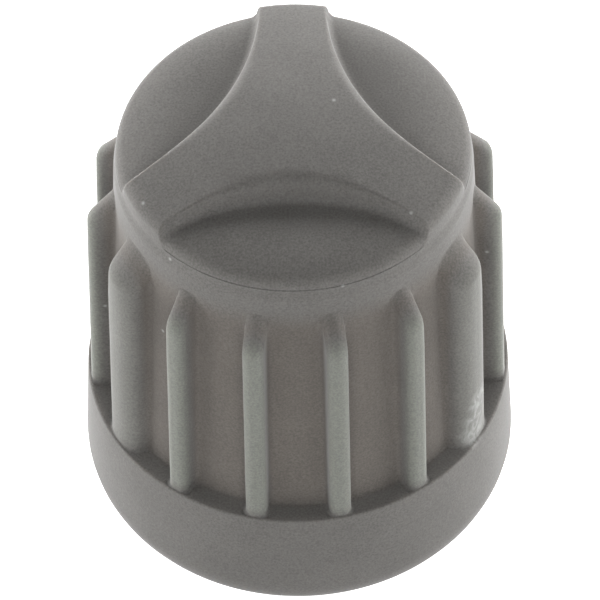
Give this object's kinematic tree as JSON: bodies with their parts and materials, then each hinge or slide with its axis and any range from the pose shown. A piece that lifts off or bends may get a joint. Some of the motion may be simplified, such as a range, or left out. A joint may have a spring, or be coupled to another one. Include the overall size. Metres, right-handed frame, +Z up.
{
  "type": "tyre valve cap",
  "caption": "Tall moulded plastic valve cap with gripping ribs, a wider foot, a domed head with thumb scoops between broad arms, and a rubber seal ring in its thread bore.",
  "frame": {"origin": "middle of the open end, on the surface that the cap stands on", "axes": "+Z up along the cap's axis, towards the domed head; -Y is the front, and +Y points along one arm of the grip"},
  "size_m": [0.012, 0.012, 0.0147],
  "materials": {
    "moulded_plastic": "mid grey moulded nylon, fine spark-eroded grain",
    "seal_rubber": "plain black moulded rubber"
  },
  "bodies": {
    "root": {"cap_body": "moulded_plastic", "seal_ring": "seal_rubber"}
  },
  "joints": []
}
